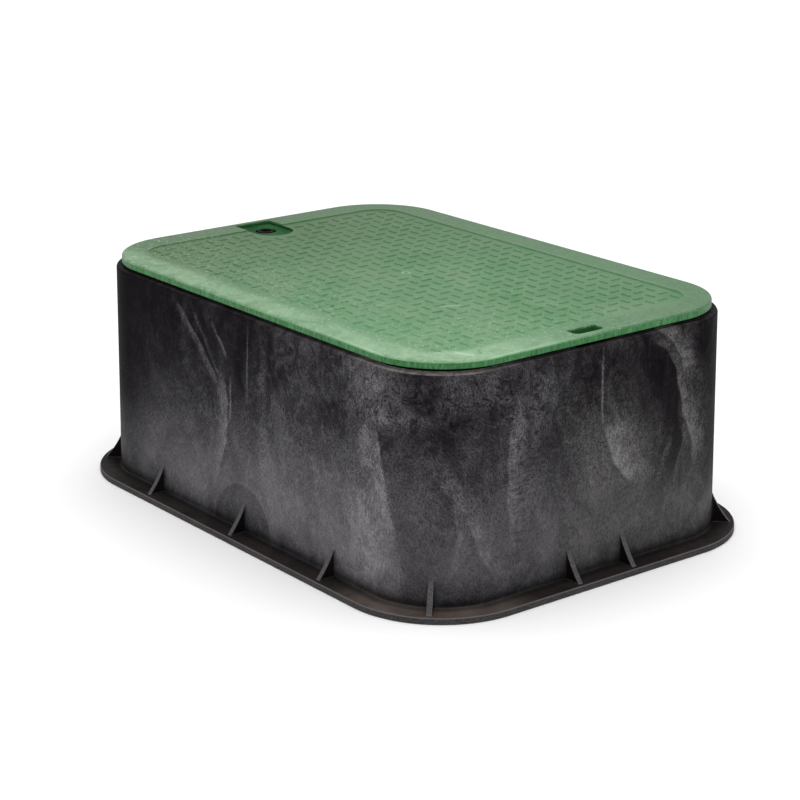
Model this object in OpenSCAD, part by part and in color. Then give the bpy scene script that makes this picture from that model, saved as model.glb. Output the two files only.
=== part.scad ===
/* [Lid] */
// Length of the lid, along X
lid_l = 432; // [400:1:470]
// Width of the lid, along Y
lid_w = 302; // [270:1:330]
// Corner radius of the lid
lid_r = 61; // [50:0.5:75]
// Thickness of the lid at its edge
lid_t = 6.1; // [5.6:0.1:9]
// Rounding of the lid's upper edge
lid_round = 1.5; // [0.5:0.1:2.5]
// Depth of the hollow under the lid, inside its skirt
lid_hollow = 1.4; // [0.5:0.1:1.8]
// Depth of the skirt below the lid's edge
skirt_d = 13; // [8:0.5:20]
// Thickness of the skirt
skirt_t = 3.5; // [2.5:0.1:5]
// Thickness of the ribs under the lid
rib_t = 3; // [2:0.1:4]
// Distance that the ribs stop short of the skirt's lower edge
rib_short = 2; // [0:0.5:4]
// Spacing of the ribs under the lid
rib_pitch = 47; // [35:1:70]

/* [Tread] */
// Width of the plain border round the tread
border = 25; // [20:0.5:32]
// Depth of the tread panel below the border
panel_d = 1; // [0.6:0.1:1.6]
// Corner radius of the tread panel
panel_r = 26; // [18:1:34]
// Spacing of the tread dashes
dash_pitch = 12.7; // [12:0.1:16]
// Length of a tread dash
dash_l = 9.6; // [7:0.1:11]
// Width of a tread dash
dash_w = 3; // [2:0.1:4]
// Height of a tread dash
dash_h = 1; // [0.5:0.1:1.6]
// Diameter of the round moulding mark at the middle of the lid
mark_d = 7; // [5:0.5:9]
// Width of the moulding mark's raised ring
mark_w = 1.2; // [0.8:0.1:2]
// Height of the moulding mark's raised ring
mark_h = 0.5; // [0.3:0.1:0.6]

/* [Bolt recess] */
// Length of the bolt recess
recess_l = 47.5; // [42:0.5:54]
// Width of the bolt recess
recess_w = 34.6; // [30:0.2:40]
// Depth of the bolt recess
recess_d = 3; // [2:0.1:3.5]
// Distance from the lid's end to the bolt recess
recess_edge = 6; // [5:0.5:9]
// Diameter of the bolt hole in the lid
bolt_hole_d = 17; // [14:0.5:20]
// Distance from the lid's end to the middle of the bolt hole
bolt_edge = 26.5; // [24:0.5:29]

/* [Pry slot] */
// Length of the pry slot, along Y
slot_l = 26.6; // [20:0.2:32]
// Width of the pry slot, along X
slot_w = 11.7; // [10:0.1:13]
// Corner radius of the pry slot
slot_r = 4; // [2:0.5:4.5]
// Distance from the lid's end to the pry slot
slot_edge = 5.8; // [5:0.1:8]
// Clearance kept round the pry slot in the skirt, the ribs and the ledge
slot_gap = 3; // [2:0.5:5]

/* [Body] */
// Height of the body, from the ground to the ledge under the lid
body_h = 176.4; // [150:0.2:260]
// Distance from the lid's edge to the outside of the body's rim
rim_out = 2.5; // [2:0.1:5]
// Corner radius of the body at its rim
body_r = 58; // [52:0.5:64]
// Thickness of the body's wall
wall_t = 5; // [4:0.1:6]
// Slope of the body's wall, in degrees
draft = 0.75; // [0.3:0.05:1.5]
// Rounding of the rim's outer edge
rim_round = 2.5; // [1:0.1:3.5]
// Distance from the outside of the rim to the raised ledge
shoulder_w = 5.5; // [5:0.1:7]
// Height of the raised ledge above the rim's shoulder
ledge_step = 2.4; // [1.5:0.1:4]
// Width of the raised ledge
ledge_w = 5.5; // [4:0.1:7]
// Thickness of the rim below its shoulder
rim_t = 6; // [4:0.5:9]
// Clearance between the lid's skirt and the ledge
skirt_gap = 1.5; // [1:0.1:3]

/* [Flange] */
// Width of the flange, outside the wall's foot
flange_w = 17.5; // [14:0.5:24]
// Thickness of the flange
flange_t = 5.2; // [4:0.1:7]
// Rounding of the flange's upper edge
flange_round = 1.2; // [0.6:0.1:2]
// Fillet between the flange and the wall
foot_fillet = 2; // [1:0.1:4]
// Height of a gusset above the flange
gusset_h = 22; // [14:0.5:34]
// Distance that a gusset stops short of the flange's edge
gusset_short = 3.4; // [2.5:0.1:5]
// Thickness of a gusset
gusset_t = 4.5; // [3:0.1:6]
// Hollowing of a gusset's sloping edge
gusset_sag = 1; // [0.5:0.1:2]
// Spacing of the three gussets on a long side
gusset_pitch_x = 113; // [80:1:130]
// Spacing of the two gussets on a short side
gusset_pitch_y = 52.6; // [40:0.2:80]

/* [Bolt boss] */
// Diameter of the bolt boss inside the body
boss_d = 28; // [24:0.5:32]
// Height of the bolt boss
boss_h = 46; // [30:1:70]
// Diameter of the bolt hole in the boss
boss_hole_d = 9.5; // [7:0.5:11]
// Clearance between the boss and the lid's skirt and ribs
boss_gap = 2.5; // [2:0.1:4]
// Clearance between the boss's collar and the bolt hole in the lid
collar_gap = 1.25; // [0.5:0.05:1.25]
// Distance of the collar's top below the top of the lid
collar_drop = 2.5; // [1:0.1:4]

/* [Hidden] */
$fn = 96;

// Sliver by which cuts run past the faces that they open
eps = 0.5;
// Overlap that joins neighbouring parts of one moulding
bite = 0.02;
// Depth to which the foot's fillet runs into the wall
fillet_sink = 0.15;
// Signs of the four corners, anticlockwise from +X +Y
corners = [[1, 1], [-1, 1], [-1, -1], [1, -1]];

lid_top = body_h + lid_t;
lid_cx = lid_l / 2 - lid_r;
lid_cy = lid_w / 2 - lid_r;

// The body and the lid's skirt share these corner centres, and differ only in their radii
body_cx = lid_l / 2 + rim_out - body_r;
body_cy = lid_w / 2 + rim_out - body_r;
shoulder_z = body_h - ledge_step;
foot_r = body_r + (shoulder_z - flange_t) * tan(draft);
flange_r = foot_r + flange_w;
ledge_out_r = body_r - shoulder_w;
ledge_in_r = ledge_out_r - ledge_w;
skirt_r = ledge_in_r - skirt_gap;
cavity_r = body_r - wall_t;

gusset_reach = flange_w - gusset_short;
// Depth to which a gusset's root runs into the wall
gusset_root = wall_t / 2;

hollow_z = body_h + lid_hollow;
skirt_z = body_h - skirt_d;
rib_z = skirt_z + rib_short;
panel_z = lid_top - panel_d;
panel_l = lid_l - 2 * border;
panel_w = lid_w - 2 * border;

recess_x0 = -lid_l / 2 + recess_edge;
recess_arc_x = recess_x0 + recess_l - recess_w / 2;
bolt_x = -lid_l / 2 + bolt_edge;
collar_d = bolt_hole_d - 2 * collar_gap;
slot_x1 = lid_l / 2 - slot_edge;
slot_x0 = slot_x1 - slot_w;
notch_w = slot_l + 2 * slot_gap;
notch_x0 = slot_x0 - slot_gap;
// Thickness kept round the bolt recess on the underside of the lid
recess_pad = 5;

dash_nx = floor((panel_l / 2 - dash_l / 2) / dash_pitch);
dash_ny = floor((panel_w / 2 - dash_l / 2) / dash_pitch);
// Plain distance kept between the dashes and the recess or the corners of the panel
dash_clear = 1.5;

body_color = [0.16, 0.155, 0.16];
lid_color = [0.42, 0.62, 0.43];

// Rounded rectangle with corner centres (cx, cy) and radius r
module outline(cx, cy, r) {
    square([2 * cx, 2 * (cy + r)], center = true);
    square([2 * (cx + r), 2 * cy], center = true);
    for (sx = [-1, 1], sy = [-1, 1])
        translate([sx * cx, sy * cy])
            circle(r);
}

// Straight-sided prism on that outline, from z0 to z1
module prism(cx, cy, r, z0, z1) {
    translate([0, 0, z0])
        linear_extrude(z1 - z0)
            outline(cx, cy, r);
}

// Solid whose section round the rounded rectangle is the child profile.
// The profile has its distance from the corner centre along X and its height along Y,
// and fills the strip from z0 to z1 beside the axis.
module swept(cx, cy, z0, z1) {
    translate([-cx, -cy, z0])
        cube([2 * cx, 2 * cy, z1 - z0]);
    for (side = [-1, 1]) {
        translate([side * cx, 0, 0])
            rotate([90, 0, side < 0 ? 180 : 0])
                linear_extrude(2 * cy, center = true)
                    children();
        translate([0, side * cy, 0])
            rotate([90, 0, side * 90])
                linear_extrude(2 * cx, center = true)
                    children();
    }
    for (i = [0:3])
        translate([corners[i][0] * cx, corners[i][1] * cy, 0])
            rotate([0, 0, 90 * i])
                rotate_extrude(angle = 90)
                    children();
}

// Profile from the axis to radius r, from z0 to z1, with its upper outer corner rounded
module round_profile(r, z0, z1, rounding) {
    difference() {
        translate([0, z0])
            square([r, z1 - z0]);
        translate([r - rounding, z1 - rounding])
            difference() {
                square(rounding + eps);
                circle(rounding);
            }
    }
}

// Outside of the wall, with its draft and its rounded rim
module wall_profile() {
    difference() {
        polygon([[0, 0], [foot_r, 0], [foot_r, flange_t], [body_r, shoulder_z], [0, shoulder_z]]);
        translate([body_r - rim_round, shoulder_z - rim_round])
            difference() {
                square(rim_round + eps);
                circle(rim_round);
            }
    }
    translate([foot_r - fillet_sink, flange_t - bite])
        difference() {
            square(foot_fillet);
            translate([foot_fillet, foot_fillet])
                circle(foot_fillet);
        }
}

// Inside of the wall, which slopes with the outside and closes in under the rim
module cavity_profile() {
    rim_z = shoulder_z - rim_t;
    chamfer = cavity_r - ledge_in_r;
    foot_in_r = cavity_r + (shoulder_z - flange_t) * tan(draft);
    polygon([
        [0, -eps],
        [foot_in_r, -eps],
        [foot_in_r, flange_t],
        [cavity_r, rim_z - chamfer],
        [ledge_in_r, rim_z],
        [ledge_in_r, body_h + eps],
        [0, body_h + eps]
    ]);
}

// One gusset with its root in the wall, standing along +X
module gusset() {
    slope_l = norm([gusset_reach, gusset_h]);
    // Radius of the arc that hollows the sloping edge by gusset_sag at its middle
    arc_r = (pow(slope_l / 2, 2) + pow(gusset_sag, 2)) / (2 * gusset_sag);
    arc_out = arc_r - gusset_sag;
    rotate([90, 0, 0])
        linear_extrude(gusset_t, center = true)
            difference() {
                polygon([
                    [-gusset_root, -flange_t / 2],
                    [gusset_reach, -flange_t / 2],
                    [gusset_reach, 0],
                    [0, gusset_h],
                    [-gusset_root, gusset_h]
                ]);
                translate([
                    gusset_reach / 2 + arc_out * gusset_h / slope_l,
                    gusset_h / 2 + arc_out * gusset_reach / slope_l
                ])
                    circle(arc_r, $fn = 360);
            }
}

// Gussets at the four corners, three on each long side and two on each short side
module gussets() {
    for (sx = [-1, 1], sy = [-1, 1])
        translate([sx * body_cx, sy * body_cy, flange_t])
            rotate([0, 0, sy * (90 - sx * 45)])
                translate([foot_r, 0, 0])
                    gusset();
    for (side = [-1, 1]) {
        for (i = [-1:1])
            translate([i * gusset_pitch_x, side * (body_cy + foot_r), flange_t])
                rotate([0, 0, side * 90])
                    gusset();
        for (i = [-0.5, 0.5])
            translate([side * (body_cx + foot_r), i * gusset_pitch_y, flange_t])
                rotate([0, 0, 90 - side * 90])
                    gusset();
    }
}

// Round boss under the lid's bolt hole, joined to the end wall by a solid web
module bolt_boss(grow, z0, z1) {
    reach = body_cx + ledge_in_r + ledge_w / 2;
    translate([bolt_x, 0, z0])
        cylinder(d = boss_d + 2 * grow, h = z1 - z0);
    translate([-reach, -boss_d / 2 - grow, z0])
        cube([reach + bolt_x, boss_d + 2 * grow, z1 - z0]);
}

module box_body() {
    color(body_color)
    difference() {
        union() {
            difference() {
                union() {
                    swept(body_cx, body_cy, 0, shoulder_z)
                        wall_profile();
                    swept(body_cx, body_cy, 0, flange_t)
                        round_profile(flange_r, 0, flange_t, flange_round);
                    prism(body_cx, body_cy, ledge_out_r, shoulder_z - bite, body_h);
                    gussets();
                }
                swept(body_cx, body_cy, -eps, body_h + eps)
                    cavity_profile();
            }
            bolt_boss(0, body_h - boss_h, body_h);
            // Collar that stands up into the lid's bolt hole
            translate([bolt_x, 0, body_h - bite])
                cylinder(d = collar_d, h = lid_t - collar_drop + bite);
        }
        translate([bolt_x, 0, body_h - boss_h - eps])
            cylinder(d = boss_hole_d, h = boss_h + lid_t + eps);
        // Notch through the ledge below the pry slot, back to the wall's inner face
        translate([notch_x0, -notch_w / 2, shoulder_z / 2])
            cube([body_cx + cavity_r - notch_x0, notch_w, body_h]);
    }
}

// Outline of the bolt recess, grown on every side by grow
module recess_outline(grow) {
    translate([recess_x0 - grow, -recess_w / 2 - grow])
        square([recess_arc_x - recess_x0 + grow, recess_w + 2 * grow]);
    translate([recess_arc_x, 0])
        circle(d = recess_w + 2 * grow);
}

// Pry slot, with rounded corners towards the lid's end
module pry_slot() {
    translate([slot_x0, -slot_l / 2])
        square([slot_w - slot_r, slot_l]);
    translate([slot_x0, -slot_l / 2 + slot_r])
        square([slot_w, slot_l - 2 * slot_r]);
    for (side = [-1, 1])
        translate([slot_x1 - slot_r, side * (slot_l / 2 - slot_r)])
            circle(slot_r);
}

// True where a dash at (x, y) stays on the panel, off its corners and off the bolt recess
function dash_fits(x, y) =
    let (
        reach = dash_l / 2 + dash_clear,
        corner_x = abs(x) - (panel_l / 2 - panel_r),
        corner_y = abs(y) - (panel_w / 2 - panel_r),
        in_corner = corner_x > 0 && corner_y > 0,
        clear_corner = !in_corner || norm([corner_x, corner_y]) < panel_r - reach,
        clear_recess = x - reach > recess_x0 + recess_l || abs(y) - reach > recess_w / 2,
        clear_mark = norm([x, y]) > mark_d
    )
    clear_corner && clear_recess && clear_mark;

// Raised dashes on a square grid, turned a quarter from one to the next
module tread() {
    for (i = [-dash_nx:dash_nx], j = [-dash_ny:dash_ny])
        if (dash_fits(i * dash_pitch, j * dash_pitch))
            translate([i * dash_pitch, j * dash_pitch, panel_z + (dash_h - bite) / 2])
                cube(
                    abs(i + j) % 2 == 0
                        ? [dash_w, dash_l, dash_h + bite]
                        : [dash_l, dash_w, dash_h + bite],
                    center = true
                );
}

// Small raised ring at the middle of the lid
module moulding_mark() {
    translate([0, 0, panel_z - bite])
        difference() {
            cylinder(d = mark_d, h = mark_h + bite);
            translate([0, 0, bite + mark_h / 2])
                cylinder(d = mark_d - 2 * mark_w, h = mark_h);
        }
}

// Lattice of ribs inside the skirt
module ribs() {
    nx = floor((body_cx + skirt_r - skirt_t) / rib_pitch);
    ny = floor((body_cy + skirt_r - skirt_t) / rib_pitch);
    rib_h = hollow_z + bite - rib_z;
    intersection() {
        prism(body_cx, body_cy, skirt_r - skirt_t / 2, rib_z, hollow_z + bite);
        union() {
            for (i = [-nx:nx])
                translate([i * rib_pitch, 0, rib_z + rib_h / 2])
                    cube([rib_t, lid_w, rib_h], center = true);
            for (j = [-ny:ny])
                translate([0, j * rib_pitch, rib_z + rib_h / 2])
                    cube([lid_l, rib_t, rib_h], center = true);
        }
    }
}

// Skirt that drops inside the ledge and keeps the lid in its place
module skirt() {
    difference() {
        prism(body_cx, body_cy, skirt_r, skirt_z, body_h + bite);
        prism(body_cx, body_cy, skirt_r - skirt_t, skirt_z - eps, body_h + eps);
    }
}

module lid() {
    color(lid_color)
    difference() {
        union() {
            difference() {
                swept(lid_cx, lid_cy, body_h, lid_top)
                    round_profile(lid_r, body_h, lid_top, lid_round);
                prism(panel_l / 2 - panel_r, panel_w / 2 - panel_r, panel_r, panel_z, lid_top + eps);
                difference() {
                    prism(body_cx, body_cy, skirt_r - skirt_t, body_h - eps, hollow_z);
                    translate([0, 0, body_h - 2 * eps])
                        linear_extrude(lid_hollow + 3 * eps)
                            recess_outline(recess_pad);
                }
            }
            tread();
            moulding_mark();
            difference() {
                union() {
                    skirt();
                    ribs();
                }
                bolt_boss(boss_gap, skirt_z - eps, body_h);
                translate([notch_x0, -notch_w / 2, skirt_z - eps])
                    cube([lid_l / 2, notch_w, hollow_z - skirt_z + 2 * eps]);
            }
        }
        translate([0, 0, lid_top - recess_d])
            linear_extrude(recess_d + eps)
                recess_outline(0);
        translate([bolt_x, 0, body_h - eps])
            cylinder(d = bolt_hole_d, h = lid_t);
        translate([0, 0, body_h - eps])
            linear_extrude(lid_t + 2 * eps)
                pry_slot();
    }
}

box_body();
lid();
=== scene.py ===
"""Looks of the irrigation valve box: its two mouldings, their plastics, a pale floor and soft light."""

import math
from types import SimpleNamespace
from typing import NamedTuple

import bmesh
import bpy
import numpy as np
from mathutils import Matrix, Vector


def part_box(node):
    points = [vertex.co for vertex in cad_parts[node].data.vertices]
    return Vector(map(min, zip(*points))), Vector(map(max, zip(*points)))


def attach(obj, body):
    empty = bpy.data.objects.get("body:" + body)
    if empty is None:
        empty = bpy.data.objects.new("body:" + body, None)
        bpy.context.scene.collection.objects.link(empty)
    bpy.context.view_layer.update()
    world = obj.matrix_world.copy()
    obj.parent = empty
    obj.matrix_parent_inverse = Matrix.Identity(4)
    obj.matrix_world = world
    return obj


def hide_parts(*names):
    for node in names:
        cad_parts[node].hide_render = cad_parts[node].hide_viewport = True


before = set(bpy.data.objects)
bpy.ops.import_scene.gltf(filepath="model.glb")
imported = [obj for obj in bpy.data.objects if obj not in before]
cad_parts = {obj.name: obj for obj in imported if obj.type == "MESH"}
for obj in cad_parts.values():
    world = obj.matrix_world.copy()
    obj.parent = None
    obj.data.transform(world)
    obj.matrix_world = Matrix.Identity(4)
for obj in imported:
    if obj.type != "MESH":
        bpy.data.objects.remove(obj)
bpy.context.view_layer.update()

MM = 0.001
CORNERS = ((1, 1), (-1, 1), (-1, -1), (1, -1))

# Camera, solved from the photograph: angles in degrees, distance in metres, focal length in image widths
CAMERA_AZIMUTH = 51.86
CAMERA_ELEVATION = 17.77
CAMERA_DISTANCE = 1.7659
CAMERA_FOCAL = 2.806
CAMERA_TARGET_Z = 0.0898
CAMERA_TARGET_RIGHT = -0.00467
CAMERA_TARGET_UP = -0.01075
SENSOR_MM = 36

# Outer sizes, from the frame
BODY_LO, BODY_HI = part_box("box_body")
LID_LO, LID_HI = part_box("lid")
LID_TOP = LID_HI.z
LID_T = 6.1 * MM
BODY_H = LID_TOP - LID_T

# Body, as in the frame's own solids
BODY_R = 58 * MM
RIM_OUT = 2.5 * MM
BODY_CX = LID_HI.x + RIM_OUT - BODY_R
BODY_CY = LID_HI.y + RIM_OUT - BODY_R
LEDGE_STEP = 2.4 * MM
SHOULDER_Z = BODY_H - LEDGE_STEP
FLANGE_T = 5.2 * MM
FLANGE_R = BODY_HI.x - BODY_CX
FLANGE_W = 17.5 * MM
FOOT_R = FLANGE_R - FLANGE_W
WALL_T = 5 * MM
RIM_T = 6 * MM
RIM_ROUND = 2.5 * MM
FLANGE_ROUND = 1.2 * MM
FOOT_FILLET = 2 * MM
LEDGE_OUT_R = BODY_R - 5.5 * MM
LEDGE_IN_R = LEDGE_OUT_R - 5.5 * MM
CAVITY_R = BODY_R - WALL_T
CAVITY_FOOT_R = FOOT_R - WALL_T
GUSSET_H = 22 * MM
GUSSET_REACH = FLANGE_W - 3.4 * MM
GUSSET_T = 4.5 * MM
GUSSET_SAG = 1 * MM
GUSSET_PITCH_X = 113 * MM
GUSSET_PITCH_Y = 52.6 * MM
BOSS_D = 28 * MM
BOSS_H = 46 * MM
BOSS_HOLE_D = 9.5 * MM
BOSS_WEB_ROOT = 2.5 * MM
COLLAR_D = 14.5 * MM
COLLAR_TOP = LID_TOP - 2.5 * MM

# Lid
LID_R = 61 * MM
LID_CX = LID_HI.x - LID_R
LID_CY = LID_HI.y - LID_R
LID_ROUND = 1.5 * MM
HOLLOW_Z = BODY_H + 1.4 * MM
BORDER = 25 * MM
PANEL_D = 1 * MM
PANEL_R = 26 * MM
PANEL_CX = LID_HI.x - BORDER - PANEL_R
PANEL_CY = LID_HI.y - BORDER - PANEL_R
PANEL_Z = LID_TOP - PANEL_D
DASH_PITCH = 12.7 * MM
DASH_L = 9.6 * MM
DASH_W = 3 * MM
DASH_CLEAR = 1.5 * MM
MARK_D = 7 * MM
MARK_W = 1.2 * MM
MARK_H = 0.5 * MM
RECESS_X0 = LID_LO.x + 6 * MM
RECESS_L = 47.5 * MM
RECESS_W = 34.6 * MM
RECESS_D = 3 * MM
RECESS_PAD = 5 * MM
BOLT_X = LID_LO.x + 26.5 * MM
BOLT_HOLE_D = 17 * MM
HOLE_ROUND = 0.5 * MM
SLOT_X1 = LID_HI.x - 5.8 * MM
SLOT_W = 11.7 * MM
SLOT_L = 26.6 * MM
SLOT_R = 4 * MM
SLOT_GAP = 3 * MM
MOUTH_ROUND = 0.8 * MM
SKIRT_R = LEDGE_IN_R - 1.5 * MM
SKIRT_T = 3.5 * MM
SKIRT_Z = LID_LO.z
RIB_T = 3 * MM
RIB_Z = SKIRT_Z + 2 * MM
RIB_PITCH = 47 * MM
BOSS_GAP = 2.5 * MM


# Meshes

# Sides of a full circle, and of a quarter turn of the mouldings' corners
DISC_STEPS = 48
CORNER_STEPS = 24
# Depth to which a solid runs into the plate that it is joined to, so that no two faces meet
ROOT = 0.5 * MM


def make_object(name, verts, faces):
    mesh = bpy.data.meshes.new(name)
    mesh.from_pydata([tuple(v) for v in verts], [], [tuple(f) for f in faces])
    mesh.validate()
    mesh.update()
    obj = bpy.data.objects.new(name, mesh)
    bpy.context.scene.collection.objects.link(obj)
    return obj


def rounded_outline(cx, cy, r, steps):
    """Rounded rectangle with corner centres (cx, cy), anticlockwise from the +X side."""
    points = []
    for turn, (sx, sy) in enumerate(CORNERS):
        for k in range(steps + 1):
            a = math.radians(90 * (turn + k / steps))
            points.append((sx * cx + r * math.cos(a), sy * cy + r * math.sin(a)))
    return points


def arc(cx, cz, r, start, end, steps):
    """Points (radius, height) of an arc in a profile, from one angle to another, in degrees."""
    angles = [math.radians(start + (end - start) * k / steps) for k in range(steps + 1)]
    return [(cx + r * math.cos(a), cz + r * math.sin(a)) for a in angles]


def bridge(faces, base_a, base_b, n):
    for k in range(n):
        m = (k + 1) % n
        faces.append((base_a + k, base_a + m, base_b + m, base_b + k))


def ring_object(name, cx, cy, profile, steps):
    """Closed profile of (radius, height) swept round a rounded rectangle."""
    verts, faces = [], []
    n = 4 * (steps + 1)
    for r, z in profile:
        verts += [(x, y, z) for x, y in rounded_outline(cx, cy, r, steps)]
    for i in range(len(profile)):
        bridge(faces, i * n, (i + 1) % len(profile) * n, n)
    return make_object(name, verts, faces)


def loft_object(name, loops):
    """Solid through loops of equal point counts, the first and last closed by a flat face."""
    verts, faces = [], []
    n = len(loops[0])
    for loop in loops:
        verts += loop
    for i in range(len(loops) - 1):
        bridge(faces, i * n, (i + 1) * n, n)
    last = (len(loops) - 1) * n
    faces.append(tuple(reversed(range(n))))
    faces.append(tuple(range(last, last + n)))
    return make_object(name, verts, faces)


def at_height(points, z):
    return [(x, y, z) for x, y in points]


def box_object(name, lo, hi):
    xs, ys, zs = zip(lo, hi)
    base = [(xs[0], ys[0]), (xs[1], ys[0]), (xs[1], ys[1]), (xs[0], ys[1])]
    return loft_object(name, [at_height(base, z) for z in zs])


def disc_points(x, y, r, steps):
    angles = [2 * math.pi * k / steps for k in range(steps)]
    return [(x + r * math.cos(a), y + r * math.sin(a)) for a in angles]


def cylinder_object(name, x, y, r, z0, z1):
    return loft_object(name, [at_height(disc_points(x, y, r, DISC_STEPS), z) for z in (z0, z1)])


def remove_object(obj):
    mesh = obj.data
    bpy.data.objects.remove(obj)
    bpy.data.meshes.remove(mesh)


def fix_normals(obj):
    bm = bmesh.new()
    bm.from_mesh(obj.data)
    bmesh.ops.recalc_face_normals(bm, faces=bm.faces)
    bm.to_mesh(obj.data)
    bm.free()


def combine(obj, tool, operation):
    """Applies a boolean with another closed solid and deletes that solid."""
    for solid in (obj, tool):
        fix_normals(solid)
    modifier = obj.modifiers.new("cut", "BOOLEAN")
    modifier.operation = operation
    modifier.solver = "MANIFOLD"
    modifier.object = tool
    graph = bpy.context.evaluated_depsgraph_get()
    mesh = bpy.data.meshes.new_from_object(obj.evaluated_get(graph))
    obj.modifiers.clear()
    old = obj.data
    name = old.name
    obj.data = mesh
    bpy.data.meshes.remove(old)
    mesh.name = name
    remove_object(tool)


def shade(obj, angle=32):
    """Smooth shading with sharp edges, flat faces keeping their own normal."""
    mesh = obj.data
    mesh.polygons.foreach_set("use_smooth", [True] * len(mesh.polygons))
    mesh.set_sharp_from_angle(angle=math.radians(angle))
    weighted = obj.modifiers.new("normals", "WEIGHTED_NORMAL")
    weighted.mode = "FACE_AREA"
    weighted.weight = 50
    weighted.keep_sharp = True


# Body

def body_profile():
    """Closed outline of the wall's section, as distance from the corner centre and height."""
    edge = 0.6 * MM
    lip = 0.4 * MM
    rim_z = SHOULDER_Z - RIM_T
    profile = [(FLANGE_R - edge, 0), (FLANGE_R, edge)]
    profile += arc(FLANGE_R - FLANGE_ROUND, FLANGE_T - FLANGE_ROUND, FLANGE_ROUND, 0, 90, 4)
    profile += arc(FOOT_R + FOOT_FILLET, FLANGE_T + FOOT_FILLET, FOOT_FILLET, 270, 180, 6)
    profile += arc(BODY_R - RIM_ROUND, SHOULDER_Z - RIM_ROUND, RIM_ROUND, 0, 90, 6)
    profile += [(LEDGE_OUT_R, SHOULDER_Z), (LEDGE_OUT_R, BODY_H - lip), (LEDGE_OUT_R - lip, BODY_H)]
    profile += [(LEDGE_IN_R + lip, BODY_H), (LEDGE_IN_R, BODY_H - lip), (LEDGE_IN_R, rim_z)]
    profile += [(CAVITY_R, rim_z - (CAVITY_R - LEDGE_IN_R)), (CAVITY_FOOT_R, FLANGE_T)]
    profile += [(CAVITY_FOOT_R, edge), (CAVITY_FOOT_R + edge, 0)]
    return profile


def gusset_object(x, y, turn):
    """Triangular rib with a slightly hollow, rounded outer edge, its root inside the wall."""
    steps = 8
    root = WALL_T / 2
    foot_z = FLANGE_T / 2
    length = math.hypot(GUSSET_REACH, GUSSET_H)
    slope = []
    for k in range(steps + 1):
        t = k / steps
        sag = GUSSET_SAG * 4 * t * (1 - t)
        slope.append((
            GUSSET_REACH * (1 - t) - sag * GUSSET_H / length,
            FLANGE_T + GUSSET_H * t - sag * GUSSET_REACH / length,
        ))
    inner = [(-root, FLANGE_T + GUSSET_H), (-root, foot_z), (GUSSET_REACH, foot_z)]
    edge = 0.6 * MM
    half = GUSSET_T / 2
    # Layers across the thickness: their place, and how far the sloping edge is drawn in there
    layers = [(-half, edge), (-half + edge / 3, edge / 3), (-half + edge, 0)]
    layers += [(-across, inset) for across, inset in reversed(layers)]
    loops = []
    for across, inset in layers:
        loop = [(r, across, z) for r, z in inner]
        for r, z in slope:
            loop.append((r - inset * GUSSET_H / length, across, z - inset * GUSSET_REACH / length))
        loops.append(loop)
    obj = loft_object("gusset", loops)
    obj.data.transform(Matrix.Translation((x, y, 0)) @ Matrix.Rotation(turn, 4, "Z"))
    return obj


def gusset_objects():
    made = []
    for sx, sy in CORNERS:
        turn = math.atan2(sy, sx)
        x = sx * BODY_CX + FOOT_R * math.cos(turn)
        y = sy * BODY_CY + FOOT_R * math.sin(turn)
        made.append(gusset_object(x, y, turn))
    for side in (-1, 1):
        for i in (-1, 0, 1):
            made.append(gusset_object(i * GUSSET_PITCH_X, side * (BODY_CY + FOOT_R), side * math.pi / 2))
        for i in (-0.5, 0.5):
            turn = 0 if side > 0 else math.pi
            made.append(gusset_object(side * (BODY_CX + FOOT_R), i * GUSSET_PITCH_Y, turn))
    return made


def boss_object(grow, z0, z1):
    """Round boss under the bolt hole with its web to the end wall, grown on every side."""
    r = BOSS_D / 2 + grow
    end = -(BODY_CX + LEDGE_IN_R + BOSS_WEB_ROOT)
    points = [(end, r), (end, -r)]
    points += [
        (BOLT_X + r * math.cos(a), r * math.sin(a))
        for a in [math.radians(-90 + 180 * k / CORNER_STEPS) for k in range(CORNER_STEPS + 1)]
    ]
    return loft_object("boss", [at_height(points, z) for z in (z0, z1)])


def make_body():
    body = ring_object("body_shell", BODY_CX, BODY_CY, body_profile(), CORNER_STEPS)
    for gusset in gusset_objects():
        combine(body, gusset, "UNION")
    combine(body, boss_object(0, BODY_H - BOSS_H, BODY_H), "UNION")
    collar = [(COLLAR_D / 2, BODY_H - MM), (COLLAR_D / 2, COLLAR_TOP - 0.5 * MM)]
    collar += [(COLLAR_D / 2 - 0.15 * MM, COLLAR_TOP - 0.15 * MM), (COLLAR_D / 2 - 0.5 * MM, COLLAR_TOP)]
    loops = [at_height(disc_points(BOLT_X, 0, r, DISC_STEPS), z) for r, z in collar]
    combine(body, loft_object("collar", loops), "UNION")
    hole = cylinder_object("hole", BOLT_X, 0, BOSS_HOLE_D / 2, BODY_H - 2 * BOSS_H, LID_TOP)
    combine(body, hole, "DIFFERENCE")
    half = SLOT_L / 2 + SLOT_GAP
    lo = (SLOT_X1 - SLOT_W - SLOT_GAP, -half, BODY_H / 2)
    hi = (BODY_CX + CAVITY_R, half, BODY_H + MM)
    combine(body, box_object("notch", lo, hi), "DIFFERENCE")
    return body


# Lid

def lid_blank():
    """The plate with its rounded edge and its sunk tread panel, before the holes are cut."""
    steps = CORNER_STEPS
    lip = 0.4 * MM
    side = [(LID_R - lip, BODY_H), (LID_R, BODY_H + lip)]
    side += arc(LID_R - LID_ROUND, LID_TOP - LID_ROUND, LID_ROUND, 0, 90, 5)
    loops = [at_height(rounded_outline(LID_CX, LID_CY, r, steps), z) for r, z in side]
    step = 0.35 * MM
    rim = [(0, LID_TOP), (step, LID_TOP - step / 2), (2 * step, PANEL_Z + step / 2), (3 * step, PANEL_Z)]
    for inset, z in rim:
        loops.append(at_height(rounded_outline(PANEL_CX, PANEL_CY, PANEL_R - inset, steps), z))
    return loft_object("lid_shell", loops)


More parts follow.
